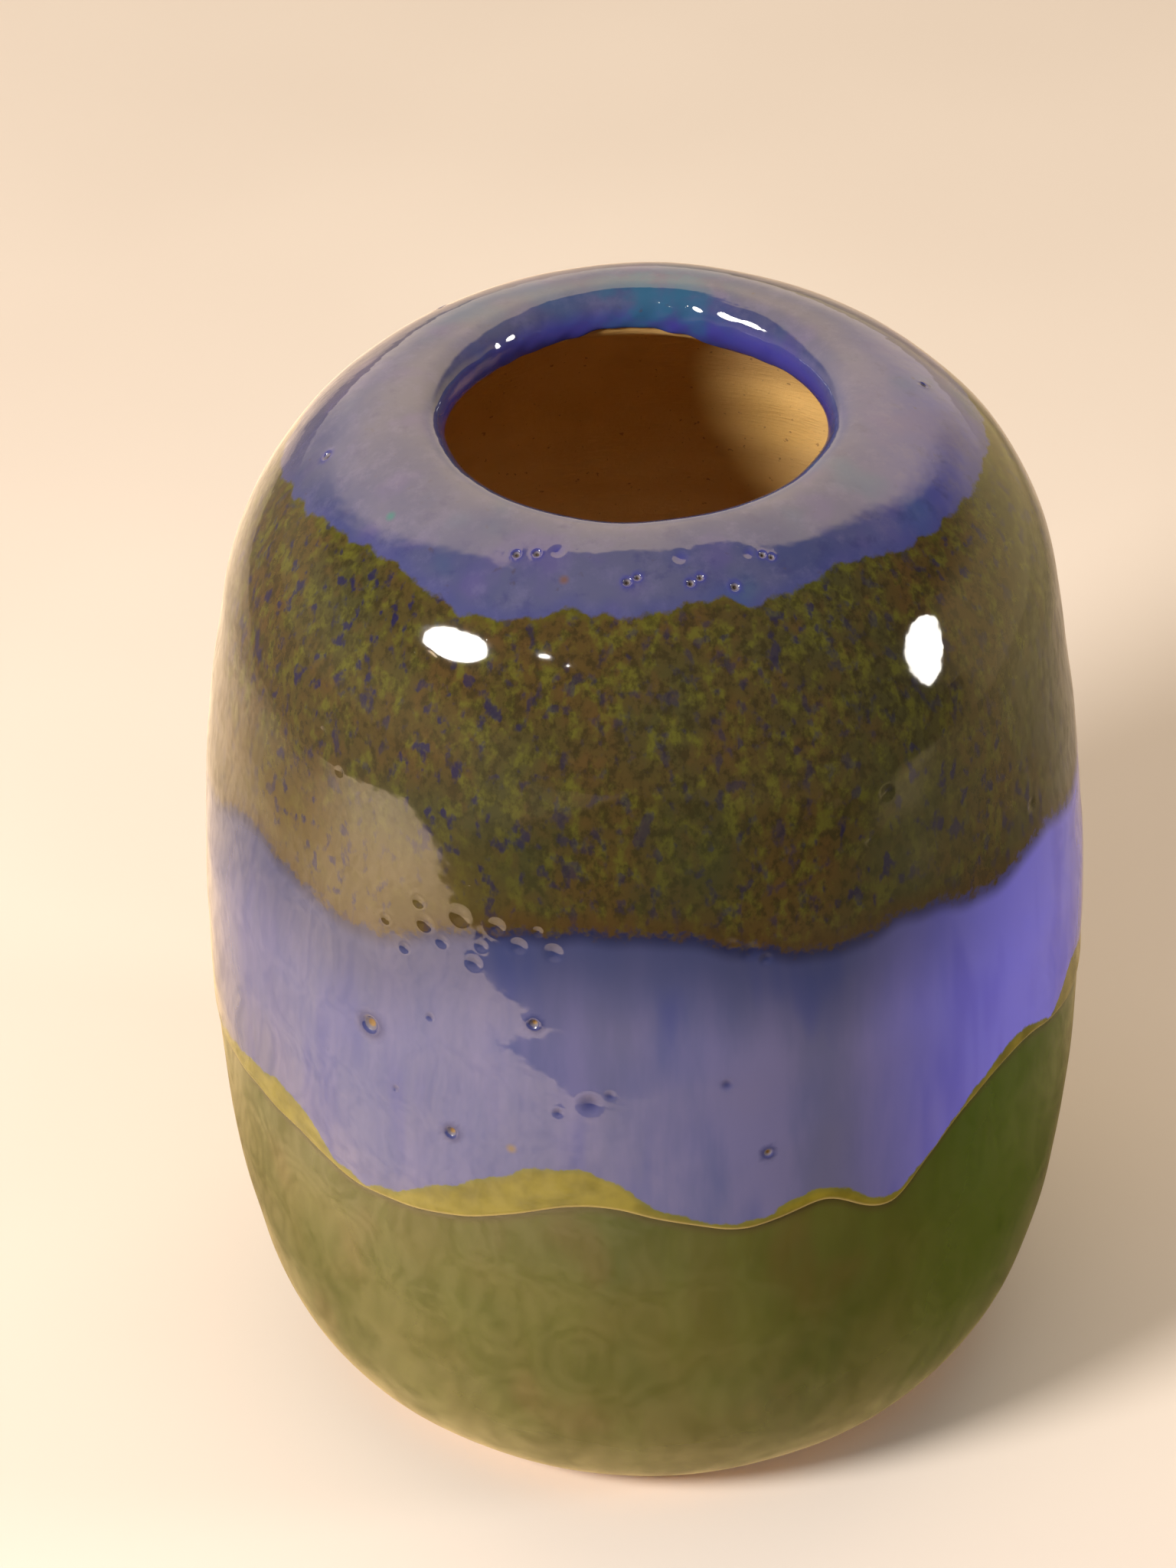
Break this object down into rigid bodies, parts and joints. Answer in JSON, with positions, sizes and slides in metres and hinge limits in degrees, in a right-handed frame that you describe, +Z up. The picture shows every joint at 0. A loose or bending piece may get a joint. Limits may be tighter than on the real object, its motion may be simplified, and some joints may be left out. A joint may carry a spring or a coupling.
{
  "type": "ceramic bud vase",
  "caption": "Small round-shouldered stoneware bud vase with a rolled mouth and flowing bands of coloured glaze.",
  "frame": {"origin": "centre of the foot, on the surface that the vase stands on", "axes": "+Z up through the mouth, -Y towards the front"},
  "size_m": [0.08, 0.08, 0.1],
  "materials": {
    "bare_clay": "matt unglazed tan clay",
    "green_glaze": "gloss olive-green glaze",
    "yellow_glaze": "gloss yellow-green glaze",
    "blue_glaze": "gloss lilac-blue glaze",
    "olive_glaze": "gloss olive-brown glaze with blue specks",
    "rim_glaze": "gloss violet-blue glaze"
  },
  "bodies": {
    "root": {"clay_body": "bare_clay", "green_base_glaze": "green_glaze", "yellow_edge_glaze": "yellow_glaze", "blue_band_glaze": "blue_glaze", "olive_speckled_glaze": "olive_glaze", "blue_rim_glaze": "rim_glaze"}
  },
  "joints": []
}
